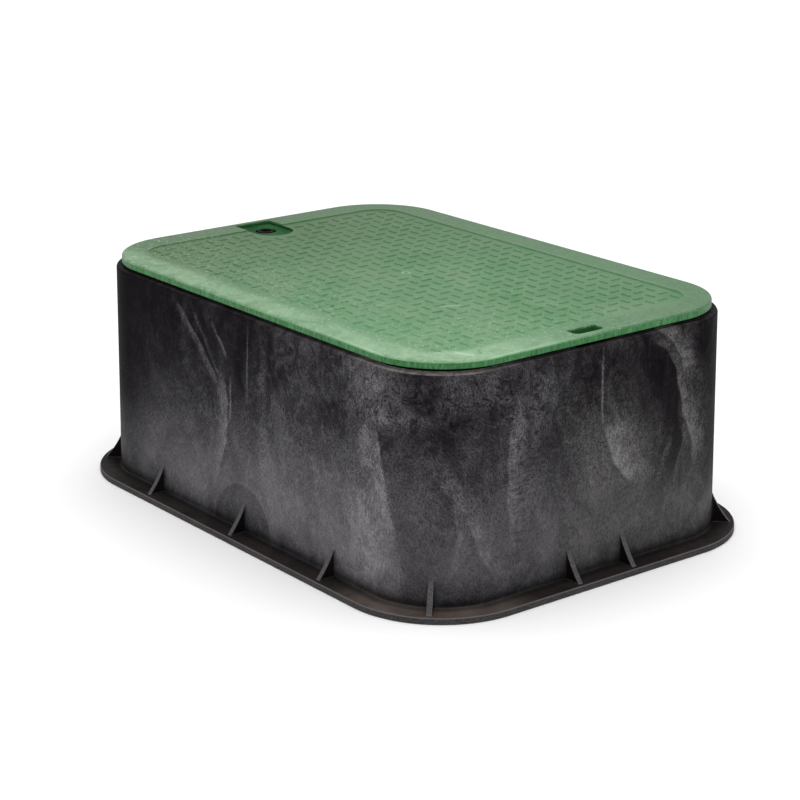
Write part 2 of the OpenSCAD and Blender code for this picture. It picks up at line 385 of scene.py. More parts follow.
def dash_fits(x, y):
    """Whether a dash stays on the panel, off its corners, the recess and the moulding mark."""
    reach = DASH_L / 2 + DASH_CLEAR
    corner_x = abs(x) - PANEL_CX
    corner_y = abs(y) - PANEL_CY
    in_corner = corner_x > 0 and corner_y > 0
    clear_corner = not in_corner or math.hypot(corner_x, corner_y) < PANEL_R - reach
    clear_recess = x - reach > RECESS_X0 + RECESS_L or abs(y) - reach > RECESS_W / 2
    return clear_corner and clear_recess and math.hypot(x, y) > MARK_D


def dash_outline(half_l, half_w, steps=3):
    """Bar with rounded corners."""
    r = min(half_w, half_l) * 0.6
    return rounded_outline(half_l - r, half_w - r, r, steps)


def tread_object():
    """Raised dashes on a square grid, turned a quarter from one to the next, with rounded tops."""
    layers = ((0, -0.4), (0, 0.0), (0.3, 0.36), (0.65, 0.68), (1.0, 0.9), (1.3, 1.0))
    verts, faces = [], []
    nx = int((PANEL_CX + PANEL_R - DASH_L / 2) / DASH_PITCH)
    ny = int((PANEL_CY + PANEL_R - DASH_L / 2) / DASH_PITCH)
    for i in range(-nx, nx + 1):
        for j in range(-ny, ny + 1):
            x, y = i * DASH_PITCH, j * DASH_PITCH
            if not dash_fits(x, y):
                continue
            base = len(verts)
            wear = 0.8 + 0.2 * math.sin(0.9 * i + 0.55 * j) * math.cos(0.42 * j - 0.3 * i + 1)
            for inset, height in layers:
                loop = dash_outline(DASH_L / 2 - inset * MM, DASH_W / 2 - inset * MM)
                if (i + j) % 2 == 0:
                    loop = [(-b, a) for a, b in loop]
                n = len(loop)
                verts += [(x + a, y + b, PANEL_Z + height * wear * PANEL_D) for a, b in loop]
            for k in range(len(layers) - 1):
                bridge(faces, base + k * n, base + (k + 1) * n, n)
            faces.append(tuple(reversed(range(base, base + n))))
            last = base + (len(layers) - 1) * n
            faces.append(tuple(range(last, last + n)))
    return make_object("tread", verts, faces)


def recess_outline(grow, steps=16):
    """The bolt recess: square towards the lid's end, half round towards the middle."""
    r = RECESS_W / 2 + grow
    x0 = RECESS_X0 - grow
    arc_x = RECESS_X0 + RECESS_L - RECESS_W / 2
    corner = 2 * MM
    points = []
    for turn, sy in ((90, 1), (180, -1)):
        for k in range(5):
            a = math.radians(turn + 90 * k / 4)
            points.append((x0 + corner + corner * math.cos(a), sy * (r - corner) + corner * math.sin(a)))
    for k in range(steps + 1):
        a = math.radians(-90 + 180 * k / steps)
        points.append((arc_x + r * math.cos(a), r * math.sin(a)))
    return points


def slot_outline(grow):
    """The pry slot: small corners inside, larger ones towards the lid's end."""
    x0, x1 = SLOT_X1 - SLOT_W - grow, SLOT_X1 + grow
    y1 = SLOT_L / 2 + grow
    points = []
    for turn, (x, y, r) in enumerate((
        (x1, y1, SLOT_R + grow), (x0, y1, MM + grow), (x0, -y1, MM + grow), (x1, -y1, SLOT_R + grow),
    )):
        sx, sy = CORNERS[turn]
        for k in range(7):
            a = math.radians(90 * turn + 15 * k)
            points.append((x - sx * r + r * math.cos(a), y - sy * r + r * math.sin(a)))
    return points


def flared_cutter(name, outline_at, floor_z, top_z, rounding):
    """Cutter with a rounded mouth: outline_at(grow) gives its outline, wider towards top_z."""
    loops = [at_height(outline_at(0), floor_z)]
    for k in range(5):
        a = math.radians(90 * k / 4)
        outline = outline_at(rounding * (1 - math.cos(a)))
        loops.append(at_height(outline, top_z - rounding * (1 - math.sin(a))))
    loops.append(at_height(outline_at(rounding), top_z + MM))
    return loft_object(name, loops)


def disc_outline(x, y, r):
    return lambda grow: disc_points(x, y, r + grow, DISC_STEPS)


def skirt_object():
    lip = 0.5 * MM
    root = BODY_H + ROOT
    inner_r = SKIRT_R - SKIRT_T
    profile = [(SKIRT_R - lip, SKIRT_Z), (SKIRT_R, SKIRT_Z + lip), (SKIRT_R, root)]
    profile += [(inner_r, root), (inner_r, SKIRT_Z + lip), (inner_r + lip, SKIRT_Z)]
    return ring_object("skirt", BODY_CX, BODY_CY, profile, CORNER_STEPS)


def ribs_object(root_z):
    """Crossing ribs, cut to the inside of the skirt."""
    half_x = BODY_CX + SKIRT_R - SKIRT_T
    half_y = BODY_CY + SKIRT_R - SKIRT_T
    lattice = None
    for half, along_x in ((half_x, False), (half_y, True)):
        n = int(half / RIB_PITCH)
        for i in range(-n, n + 1):
            a, b = i * RIB_PITCH - RIB_T / 2, i * RIB_PITCH + RIB_T / 2
            lo, hi = ((-1, a), (1, b)) if along_x else ((a, -1), (b, 1))
            rib = box_object("rib", (*lo, RIB_Z), (*hi, root_z))
            if lattice is None:
                lattice = rib
            else:
                combine(lattice, rib, "UNION")
    bound = [at_height(rounded_outline(BODY_CX, BODY_CY, SKIRT_R - SKIRT_T / 2, CORNER_STEPS), z)
             for z in (RIB_Z - MM, root_z + MM)]
    combine(lattice, loft_object("bound", bound), "INTERSECT")
    return lattice


def lid_hollow():
    """Space to cut from the plate's underside, inside the skirt and clear of the recess's pad."""
    outline = rounded_outline(BODY_CX, BODY_CY, SKIRT_R - SKIRT_T, CORNER_STEPS)
    hollow = loft_object("hollow", [at_height(outline, z) for z in (BODY_H - MM, HOLLOW_Z)])
    pad_outline = recess_outline(RECESS_PAD)
    pad = loft_object("pad", [at_height(pad_outline, z) for z in (BODY_H - 2 * MM, HOLLOW_Z + MM)])
    combine(hollow, pad, "DIFFERENCE")
    return hollow


def lid_underside():
    """Skirt and ribs, clear of the boss and of the pry slot."""
    under = skirt_object()
    combine(under, ribs_object(HOLLOW_Z + ROOT), "UNION")
    combine(under, boss_object(BOSS_GAP, SKIRT_Z - MM, BODY_H), "DIFFERENCE")
    half = SLOT_L / 2 + SLOT_GAP
    lo = (SLOT_X1 - SLOT_W - SLOT_GAP, -half, SKIRT_Z - MM)
    hi = (LID_HI.x, half, HOLLOW_Z + 2 * MM)
    combine(under, box_object("notch", lo, hi), "DIFFERENCE")
    return under


def make_lid():
    lid = lid_blank()
    combine(lid, lid_hollow(), "DIFFERENCE")
    for added in (lid_underside(), tread_object(), ring_mark()):
        combine(lid, added, "UNION")
    below = BODY_H - MM
    recess_z = LID_TOP - RECESS_D
    bolt_hole = disc_outline(BOLT_X, 0, BOLT_HOLE_D / 2)
    for cutter in (
        flared_cutter("recess", recess_outline, recess_z, LID_TOP, MOUTH_ROUND),
        flared_cutter("hole", bolt_hole, below, recess_z, HOLE_ROUND),
        flared_cutter("slot", slot_outline, below, LID_TOP, MOUTH_ROUND),
    ):
        combine(lid, cutter, "DIFFERENCE")
    return lid


def ring_mark():
    """Small raised ring left by the mould at the middle of the lid."""
    outer = cylinder_object("mark", 0, 0, MARK_D / 2, PANEL_Z - 0.2 * MM, PANEL_Z + MARK_H)
    inner = cylinder_object("dimple", 0, 0, MARK_D / 2 - MARK_W, PANEL_Z + MARK_H / 2, PANEL_Z + MM)
    combine(outer, inner, "DIFFERENCE")
    return outer


# Materials

class Graph:
    """Short calls that add shader nodes and wire them up."""

    def __init__(self, name):
        self.material = bpy.data.materials.new(name)
        self.material.use_nodes = True
        self.tree = self.material.node_tree
        self.tree.nodes.clear()
        self.output = self.tree.nodes.new("ShaderNodeOutputMaterial")
        self.shader = self.tree.nodes.new("ShaderNodeBsdfPrincipled")
        self.link(self.shader.outputs[0], self.output.inputs[0])

    def link(self, source, socket):
        self.tree.links.new(source, socket)

    def feed(self, socket, value):
        """Links another node's socket, or sets a number or a colour, which needs no alpha."""
        if isinstance(value, bpy.types.NodeSocket):
            self.link(value, socket)
        elif socket.type == "RGBA":
            socket.default_value = (*value, 1)
        else:
            socket.default_value = value

    def node(self, kind, **settings):
        made = self.tree.nodes.new(kind)
        for key, value in settings.items():
            setattr(made, key, value)
        return made

    def place_in_mm(self):
        place = self.node("ShaderNodeTexCoord").outputs["Object"]
        return self.stretch(place, (1 / MM, 1 / MM, 1 / MM))

    def facing_up(self):
        normal = self.node("ShaderNodeNewGeometry").outputs["Normal"]
        return self.split(normal)[2]

    def split(self, vector):
        made = self.node("ShaderNodeSeparateXYZ")
        self.feed(made.inputs[0], vector)
        return made.outputs[0], made.outputs[1], made.outputs[2]

    def vector(self, x, y, z):
        made = self.node("ShaderNodeCombineXYZ")
        for socket, value in zip(made.inputs, (x, y, z)):
            self.feed(socket, value)
        return made.outputs[0]

    def math(self, operation, a, b=0.0, c=0.0, clamp=False):
        made = self.node("ShaderNodeMath", operation=operation, use_clamp=clamp)
        for socket, value in zip(made.inputs, (a, b, c)):
            self.feed(socket, value)
        return made.outputs[0]

    def times(self, first, *others):
        for other in others:
            first = self.math("MULTIPLY", first, other)
        return first

    def scaled(self, value, factor, offset):
        return self.math("MULTIPLY_ADD", value, factor, offset)

    def apart(self, a, b):
        """Distance between two values."""
        return self.math("ABSOLUTE", self.math("SUBTRACT", a, b))

    def length(self, x, y):
        return self.math("SQRT", self.math("ADD", self.times(x, x), self.times(y, y)))

    def stretch(self, vector, scale):
        made = self.node("ShaderNodeMapping")
        self.feed(made.inputs["Vector"], vector)
        made.inputs["Scale"].default_value = scale
        return made.outputs[0]

    def noise(self, vector, scale, detail=3.0, roughness=0.55, distortion=0.0):
        made = self.node("ShaderNodeTexNoise")
        self.feed(made.inputs["Vector"], vector)
        made.inputs["Scale"].default_value = scale
        made.inputs["Detail"].default_value = detail
        made.inputs["Roughness"].default_value = roughness
        made.inputs["Distortion"].default_value = distortion
        return made.outputs[0]

    def ramp(self, value, lo, hi, out_lo=0.0, out_hi=1.0, smooth=True):
        made = self.node("ShaderNodeMapRange")
        made.interpolation_type = "SMOOTHSTEP" if smooth else "LINEAR"
        for socket, number in zip(made.inputs, (value, lo, hi, out_lo, out_hi)):
            self.feed(socket, number)
        return made.outputs[0]

    def below(self, value, lo, hi):
        """1 below lo, 0 above hi."""
        return self.ramp(value, lo, hi, 1.0, 0.0)

    def band(self, value, rise_from, rise_to, fall_from, fall_to):
        """1 between the two slopes, 0 outside them."""
        return self.times(self.ramp(value, rise_from, rise_to), self.below(value, fall_from, fall_to))

    def segment(self, x, y, start, end):
        """Distance in the lid's plane from a straight scratch."""
        run = Vector(end) - Vector(start)
        along = run / run.length_squared
        dx = self.math("SUBTRACT", x, start[0])
        dy = self.math("SUBTRACT", y, start[1])
        t = self.scaled(dx, along.x, self.times(dy, along.y))
        t = self.ramp(t, 0, 1, smooth=False)
        return self.length(self.scaled(t, -run.x, dx), self.scaled(t, -run.y, dy))

    def mix(self, factor, a, b):
        made = self.node("ShaderNodeMix", data_type="RGBA")
        self.feed(made.inputs[0], factor)
        self.feed(made.inputs[6], a)
        self.feed(made.inputs[7], b)
        return made.outputs[2]

    def bump(self, height, strength, distance):
        made = self.node("ShaderNodeBump")
        made.inputs["Strength"].default_value = strength
        made.inputs["Distance"].default_value = distance
        self.feed(made.inputs["Height"], height)
        return made.outputs[0]


# Body's plastic. Distances are in mm, those round the wall from the middle of its -X -Y corner.

# Colours, linear: the skin and its frost on the long and the short sides
SKIN_BLACK = (0.0046, 0.0036, 0.0047)
FROST_LONG = (0.236, 0.2255, 0.243)
FROST_SHORT = (0.235, 0.2275, 0.231)
# Black of the cracks and the seam, and of the painted shade at the wall's foot
CRACK_AND_SHADE_BLACK = (0.004, 0.0034, 0.004)
# The painted highlight on the rim's rounding, the painted shadow between the rim and the lid, and the
# boss's collar
RIM_HIGHLIGHT_BROWN = (0.17, 0.154, 0.148)
GAP_SHADE_BLACK = (0.0012, 0.0016, 0.0012)
COLLAR_BLACK = (0.0115, 0.0095, 0.009)
# The gussets' flanks in painted shade, and their slopes, speckled and painted lighter as lit
GUSSET_FLANK_SHADE = (0.0055, 0.0045, 0.0055)
SLOPE_LIT_DARK = (0.036, 0.034, 0.036)
SLOPE_LIT_PALE = (0.105, 0.1, 0.102)
# The flange's top where dark, with wear and a painted sheen, and in painted shade along the wall, its
# brim, and the painted highlight on the brim's rounding
FLANGE_DARK = (0.0085, 0.0072, 0.0072)
FLANGE_WORN_SHEEN = (0.105, 0.083, 0.074)
FLANGE_ROOT_SHADE = (0.003, 0.0026, 0.0028)
BRIM_DARK = (0.02, 0.018, 0.02)
BRIM_PALE = (0.07, 0.066, 0.068)
BRINK_HIGHLIGHT = (0.125, 0.116, 0.114)

# Middle of the near corner, round the wall
NEAR_CORNER = 412
# Marks that fade out over more than this are broken up by the patches
THIN_MARK = 5


class Flow(NamedTuple):
    """A mark of the plastic's flow, along a curve that is crisp on one side and fades out on the other."""

    # Distance round the wall at the mark's top and foot, and the curve's bow at its middle
    top_at: float
    foot_at: float
    bow: float
    # Heights of its top and foot
    top: float
    foot: float
    # How far it fades out sideways, negative towards the smaller distance, and its strength
    fade: float
    strength: float


# Pale marks on two neighbouring walls, repeated on the opposite two
FLOW_MARKS = (
    (557, 558, 0, 174, 104, 2.2, 0.5),
    (556, 588, -5, 119, 60, 44, 0.7),
    (484, 477, -9, 166, 60, 2.4, 0.4),
    (484, 477, -9, 164, 34, 22, 0.36),
    (494, 500, 0, 172, 118, -46, 0.14),
    (494, 500, 0, 172, 118, 50, 0.2),
    (606, 650, 11, 176, 58, 18, 0.46),
    (607, 640, 6, 182, 128, 30, 0.5),
    (541, 550, 2, 100, 58, 7, 0.16),
    (624, 612, 0, 98, 46, 8, 0.14),
    (642, 630, 0, 104, 46, 9, 0.14),
    (212, 211, 0, 172, 104, 2.4, 0.26),
    (112, 188, 3, 172, 104, -16, 0.3),
    (191, 187, 1, 124, 84, -3, 0.45),
    (134, 190, -3, 172, 106, 8, 0.16),
    (166, 191, 0, 162, 134, -8, 0.36),
    (188, 170, 3, 126, 36, -22, 0.52),
    (352, 387, 8, 148, 50, -44, 0.62),
    (358, 366, 0, 92, 4, -42, 0.52),
    (358, 366, 0, 92, 4, 30, 0.52),
    (346, 372, 0, 186, 122, -60, 0.4),
    (346, 372, 0, 186, 122, 58, 0.5),
    (404, 462, 6, 116, 6, 22, 0.3),
    (414, 430, 4, 122, 40, 13, 0.22),
    (436, 440, 0, 182, 142, -40, 0.2),
    (436, 440, 0, 182, 142, 90, 0.2),
    (240, 262, 6, 110, 6, 60, 0.08),
    (276, 280, 0, 194, 130, -70, 0.13),
    (276, 280, 0, 194, 130, 60, 0.13),
)
# Darker fields between the marks, partly the plastic's own and partly painted shade: around the -X -Y and
# +X +Y corners, at the ends of the long sides next to them and over the short sides' lower part, where
# less light falls
FLOW_AND_PAINTED_SHADES = (
    (558, 578, 22, 176, 100, 78, 0.4),
    (605, 636, 15, 190, 34, -72, 0.66),
    (710, 710, 0, 190, 10, -112, 0.92),
    (712, 712, 0, 400, -200, -70, 0.92),
    (221, 224, 0, 230, 30, -190, 0.55),
    (146, 164, 0, 176, 146, -16, 0.7),
    (204, 209, 0, 142, 108, -12, 0.65),
    (384, 388, 4, 90, -20, 46, 0.28),
    (170, 180, 0, 158, 84, -100, 0.34),
    (392, 396, 0, 152, -60, 900, 0.36),
    (-8, -8, 0, 230, 24, 260, 0.95),
    (-2, -2, 0, 400, -200, 160, 0.75),
)
# Middle of the darker disc behind the long side's middle gusset, and its radius
FLOW_DISC = (204, 4, 38)
# Height of the faint seam along the long side
SEAM_Z = 133.5


def perimeter(x, y):
    """Distance round the wall, anticlockwise from the middle of the -X -Y corner."""
    inner_x = np.clip(x, -BODY_CX, BODY_CX)
    inner_y = np.clip(y, -BODY_CY, BODY_CY)
    inside = (inner_x == x) & (inner_y == y)
    by_x = np.abs(x) - BODY_CX > np.abs(y) - BODY_CY
    out_x = np.where(inside, np.where(by_x, np.sign(x), 0), x - inner_x)
    out_y = np.where(inside, np.where(by_x, 0, np.sign(y)), y - inner_y)
    turn = np.mod(np.arctan2(out_y, out_x) - math.radians(225), 2 * math.pi)
    on_plus_x = (out_y == 0) & (out_x > 0)
    first = turn < math.radians(134.99)
    last = turn > math.radians(314.99)
    run = np.where(first, inner_x + BODY_CX, 2 * (BODY_CX + BODY_CY) + BODY_CX - inner_x)
    run = np.where(on_plus_x, 2 * BODY_CX + inner_y + BODY_CY, run)
    run = np.where(last, 4 * BODY_CX + 2 * BODY_CY + BODY_CY - inner_y, run)
    return BODY_R * turn + run


def map_walls(obj):
    """UV map in mm, round the wall (folded at half its length) and up it, and the distance outside it."""
    mesh = obj.data
    whole = 4 * (BODY_CX + BODY_CY) + 2 * math.pi * BODY_R
    co = np.empty(3 * len(mesh.vertices))
    mesh.vertices.foreach_get("co", co)
    co = co.reshape(-1, 3)
    centre = np.empty(3 * len(mesh.polygons))
    mesh.polygons.foreach_get("center", centre)
    centre = centre.reshape(-1, 3)
    of_loop = np.empty(len(mesh.loops), dtype=np.int32)
    mesh.loops.foreach_get("vertex_index", of_loop)
    counts = np.empty(len(mesh.polygons), dtype=np.int32)
    mesh.polygons.foreach_get("loop_total", counts)
    middle = np.repeat(perimeter(centre[:, 0], centre[:, 1]), counts)
    here = perimeter(co[of_loop, 0], co[of_loop, 1])
    step = here - middle
    here = middle + step - whole * np.round(step / whole)
    here -= whole / 2 * np.floor(middle / (whole / 2))
    uv = mesh.uv_layers.new(name="wall")
    uv.data.foreach_set("uv", np.stack([here, co[of_loop, 2]], 1).ravel() / MM)
    over_x = np.maximum(np.abs(co[:, 0]) - BODY_CX, 0)
    over_y = np.maximum(np.abs(co[:, 1]) - BODY_CY, 0)
    wall_r = BODY_R + (FOOT_R - BODY_R) * (SHOULDER_Z - co[:, 2]) / (SHOULDER_Z - FLANGE_T)
    outside = mesh.attributes.new("outside", "FLOAT", "POINT")
    outside.data.foreach_set("value", (np.hypot(over_x, over_y) - wall_r) / MM)


def body_textures(g):
    """Places and noises that the parts of the body's shader share."""
    t = SimpleNamespace()
    t.place = g.place_in_mm()
    t.z = g.split(t.place)[2]
    t.wall = g.node("ShaderNodeUVMap", uv_map="wall").outputs[0]
    t.round_wall, t.height, _ = g.split(t.wall)
    t.outside = g.node("ShaderNodeAttribute", attribute_name="outside").outputs["Fac"]
    t.facing_up = g.facing_up()
    t.at_corner = g.below(g.apart(t.round_wall, NEAR_CORNER), 34, 84)
    t.cloud = g.noise(g.stretch(t.place, (1, 1, 0.7)), 0.018, 4, 0.58, 1.2)
    t.patches = g.noise(g.stretch(t.place, (1, 1, 0.8)), 0.06, 4, 0.62, 2.0)
    t.pores = g.noise(t.place, 1.5, 3, 0.7)
    t.curls = g.noise(t.wall, 0.62, 4, 0.78, 0.5)
    t.swirl = g.noise(g.vector(t.height, t.round_wall, 7.0), 0.02, 2, 0.5)
    t.warp = g.math("ADD", g.scaled(t.swirl, 22, -11), g.scaled(t.curls, 5, -2.5))
    t.grain = hair_grain(g, t)
    return t


def hair_grain(g, t):
    """Strands that swirl with the flow and lean over at the near corner, with curls and pores."""
    across = g.scaled(g.noise(t.wall, 0.016, 2, 0.5), 46, t.round_wall)
    along = g.scaled(t.swirl, 34, t.height)
    lean = g.times(g.ramp(t.round_wall, 372, 410), g.ramp(t.round_wall, 466, 500, 0.38, 0.0))
    across = g.scaled(lean, t.height, across)
    strands = g.noise(g.vector(across, g.times(along, 0.3), 0.0), 1.0, 4, 0.78, 0.3)
    return g.scaled(strands, 0.4, g.scaled(t.curls, 0.3, g.times(t.pores, 0.3)))


def flow_mask(g, t, flow):
    """Strength of one flow mark: crisp along its curve on one side, fading out on the other."""
    up = g.ramp(t.height, flow.foot, flow.top, smooth=False)
    line = g.scaled(up, flow.top_at - flow.foot_at, flow.foot_at)
    bend = g.times(up, g.math("SUBTRACT", 1.0, up), 4 * flow.bow)
    away = g.math("SUBTRACT", t.round_wall, g.math("ADD", line, bend))
    away = g.scaled(t.warp, -min(1, abs(flow.fade) / 10), away)
    away = g.times(away, math.copysign(1, flow.fade))
    width = max(1.3, abs(flow.fade) * 0.05)
    crisp = g.ramp(away, -width, width / 2)
    soft = g.math("POWER", g.below(away, 0.3, abs(flow.fade)), 1.4)
    ends = (flow.top - flow.foot) * 0.3
    length = g.band(t.height, flow.foot - 2, flow.foot + ends, flow.top - ends, flow.top + 2)
    return g.times(crisp, soft, length, flow.strength)


def flow_marks(g, t):
    """The strongest of the pale marks at each place."""
    broken = g.ramp(t.patches, 0.36, 0.6, 0.5, 1.12)
    marks = None
    for row in FLOW_MARKS:
        flow = Flow(*row)
        mask = flow_mask(g, t, flow)
        if abs(flow.fade) > THIN_MARK:
            mask = g.times(mask, broken)
        marks = mask if marks is None else g.math("MAXIMUM", marks, mask)
    return marks


def frost_and_light_level(g, t):
    """How pale the skin is, partly its own frosting and flow marks and partly painted light: paler towards
    the foot as painted light from the floor, darker under the rim and at the very foot as painted shade,
    palest in the flow marks.
    """
    # Painted light from the floor paling the lower wall, and painted shade under the rim and at the foot
    base = g.times(g.ramp(t.z, 30, 158, 0.365, 0.03), g.ramp(t.z, 4, 34, 0.5, 1.0))
    uneven = g.scaled(g.ramp(t.cloud, 0.36, 0.68), 0.16, -0.05)
    uneven = g.scaled(g.ramp(t.patches, 0.42, 0.7), 0.12, uneven)
    base = g.scaled(uneven, g.ramp(t.z, 70, 172, 1.0, 0.5), base)
    # Darker fields, partly painted shade
    for row in FLOW_AND_PAINTED_SHADES:
        base = g.times(base, g.math("SUBTRACT", 1.0, flow_mask(g, t, Flow(*row))))
    disc_at, disc_z, disc_r = FLOW_DISC
    away = g.length(g.math("SUBTRACT", t.round_wall, disc_at), g.math("SUBTRACT", t.height, disc_z))
    base = g.times(base, g.ramp(away, disc_r - 2, disc_r, 0.6, 1.0))
    marks = flow_marks(g, t)
    frost_and_light = g.math("ADD", base, g.times(marks, 0.6), clamp=True)
    contrast = g.math("MAXIMUM", g.ramp(t.z, 30, 130, 0.5, 1.0), marks)
    hair = g.scaled(g.ramp(t.grain, 0.42, 0.58), 1.5, -0.76)
    return g.math("MULTIPLY", frost_and_light, g.scaled(hair, contrast, 1.0), clamp=True)


def skin_colour(g, t, frost_and_light):
    """Frosted black skin, its paleness partly painted light and shade, with fine cracks above the near
    corner and a faint seam along the long side.
    """
    pale = g.mix(g.ramp(t.round_wall, 470, 560), FROST_LONG, FROST_SHORT)
    colour = g.mix(frost_and_light, SKIN_BLACK, pale)
    branch = g.noise(t.wall, 0.06, 4, 0.62, 0.9)
    crack = g.ramp(g.apart(branch, 0.5), 0.004, 0.026, 0.85, 0.0)
    crack = g.times(crack, g.band(t.height, 122, 142, 164, 172), g.band(t.round_wall, 322, 350, 500, 540))
    seam = g.apart(g.scaled(t.cloud, 3, t.height), SEAM_Z + 1.5)
    seam = g.times(g.ramp(seam, 0.1, 0.8, 0.3, 0.0), g.below(t.round_wall, 345, 352))
    return g.mix(g.math("MAXIMUM", crack, seam), colour, CRACK_AND_SHADE_BLACK)


def rim_colour(g, t, colour):
    """A painted highlight line on the rim's rounding, painted shadow between the rim and the lid, and the
    boss's collar.
    """
    shoulder, ledge = SHOULDER_Z / MM, BODY_H / MM
    # Painted highlight along the rim's rounding, strongest at the near corner
    rim_highlight = g.times(g.ramp(t.z, shoulder - 1.1, shoulder - 0.4), g.ramp(t.patches, 0.36, 0.62, 0.4, 1.0))
    rim_highlight = g.times(rim_highlight, g.scaled(t.at_corner, 0.85, 0.08))
    colour = g.mix(rim_highlight, colour, RIM_HIGHLIGHT_BROWN)
    colour = g.mix(g.ramp(t.z, ledge + 0.2, ledge + 1.2), colour, COLLAR_BLACK)
    # Painted shadow: the space between the rim and the lid is painted near black
    gap_shade = g.band(t.z, shoulder + 0.4, shoulder + 1.2, ledge + 0.2, ledge + 1.2)
    return g.mix(gap_shade, colour, GAP_SHADE_BLACK), gap_shade


def foot_colour(g, t, colour):
    """Gussets in painted shade on their flanks and painted lighter and speckled on their slopes, painted
    shade at the wall's foot, a brownish flange with wear and a painted sheen at the near corner and
    painted shade along the wall, and a greyer brim with a painted highlight on its rounding.
    """
    # Painted light: upward slopes lighter, upright flanks painted as shade
    slope = g.mix(g.ramp(t.pores, 0.36, 0.64), SLOPE_LIT_DARK, SLOPE_LIT_PALE)
    gusset = g.mix(g.ramp(t.facing_up, 0.15, 0.5), GUSSET_FLANK_SHADE, slope)
    # Painted shade darkening the wall's foot next to the flange
    colour = g.mix(g.ramp(t.z, 5, 15, 0.85, 0.0), colour, CRACK_AND_SHADE_BLACK)
    colour = g.mix(g.ramp(t.outside, 0.4, 1.6), colour, gusset)
    # Wear and a painted sheen on the flange's top, mostly at the near corner
    paler_tops = g.ramp(g.noise(t.place, 0.03, 3, 0.5, 0.4), 0.3, 0.7, 0.45, 1.0)
    paler_tops = g.times(paler_tops, g.scaled(t.at_corner, 0.86, 0.14))
    flange = g.mix(paler_tops, FLANGE_DARK, FLANGE_WORN_SHEEN)
    # Painted shade on the flange along the wall's foot
    flange = g.mix(g.ramp(t.outside, 3, 9, 0.5, 0.0), flange, FLANGE_ROOT_SHADE)
    brim = g.mix(g.ramp(t.pores, 0.4, 0.62), BRIM_DARK, BRIM_PALE)
    foot = g.mix(g.ramp(t.facing_up, 0.3, 0.8), brim, flange)
    # Painted highlight along the rounding of the flange's brim
    rounding_highlight = g.band(t.facing_up, 0.25, 0.5, 0.85, 0.97)
    rounding_highlight = g.times(rounding_highlight, g.ramp(t.outside, 12, 14), g.ramp(t.z, 3, 4, 0.0, 0.7))
    foot = g.mix(rounding_highlight, foot, BRINK_HIGHLIGHT)
    flange_top = FLANGE_T / MM
    low = g.times(g.below(t.z, flange_top + 0.4, flange_top + 1.2), g.ramp(t.outside, -0.6, 1.0))
    return g.mix(low, colour, foot)


def body_plastic():
    g = Graph("body_plastic")
    t = body_textures(g)
    frost_and_light = frost_and_light_level(g, t)
    colour, gap_shade = rim_colour(g, t, skin_colour(g, t, frost_and_light))
    g.feed(g.shader.inputs["Base Color"], foot_colour(g, t, colour))
    g.feed(g.shader.inputs["Roughness"], g.ramp(frost_and_light, 0.05, 0.5, 0.5, 0.66))
    shine = g.times(g.ramp(frost_and_light, 0.0, 0.4, 0.008, 0.15), g.math("SUBTRACT", 1.0, gap_shade))
    g.feed(g.shader.inputs["Specular IOR Level"], shine)
    g.feed(g.shader.inputs["Normal"], g.bump(t.grain, 0.45, 0.0006))
    return g.material


# Lid's plastic. Distances are in mm.

# Colours, linear: the plate, its dust, its painted shade far off and at the back, and its painted light at
# the near corner
LID_DEEP = (0.04, 0.155, 0.052)
LID_GREEN = (0.106, 0.24, 0.106)
LID_DUST = (0.15, 0.2, 0.12)
LID_FAR_SHADE = (0.042, 0.1, 0.033)
LID_NEAR_LIGHT = (0.138, 0.318, 0.15)
LID_BACK_SHADE = (0.066, 0.15, 0.066)
# The border, the tread, the gate mark, the painted highlight specks, the scuffs and the pits' painted
# shade
BORDER_PLAIN = (0.03, 0.085, 0.034)
BORDER_PALE = (0.25, 0.4, 0.24)
DASH_FOOT_DARK = (0.022, 0.095, 0.03)
DASH_WORN = (0.2, 0.34, 0.19)
GATE_PALE = (0.3, 0.45, 0.3)
FLECK_HIGHLIGHT = (0.33, 0.48, 0.33)
SCUFF_PALE = (0.44, 0.56, 0.42)
PIT_SHADE = (0.012, 0.04, 0.014)
# The edge with its painted shade and painted highlight, and the painted shade of the recess, the pry slot
# and the hollow under them
EDGE_SHADE_DEEP = (0.014, 0.1, 0.022)
EDGE_SHADE_GREEN = (0.066, 0.228, 0.078)
EDGE_HIGHLIGHT = (0.36, 0.6, 0.38)
RECESS_SHADE_DEEP = (0.006, 0.05, 0.014)
RECESS_SHADE_GREEN = (0.02, 0.095, 0.028)
SLOT_SHADE_GREEN = (0.022, 0.13, 0.035)
HOLLOW_SHADE_BLACK = (0.006, 0.009, 0.006)

# Scuffs: start, end, width and strength
SCUFFS = (
    ((91.3, -39.6), (98.4, -27.0), 1.1, 0.75),
    ((180.6, -113.1), (190.4, -100.0), 1.3, 0.6),
    ((194.6, -108.5), (203.7, -103.8), 3.4, 0.6),
    ((185.0, -119.2), (193.4, -108.4), 3.8, 0.35),
    ((126.2, -54.8), (127.2, -49.2), 1.4, 0.3),
)
# Small pits, painted as dark spots of shade
PITS = ((199.0, -93.9), (203.3, -96.6))


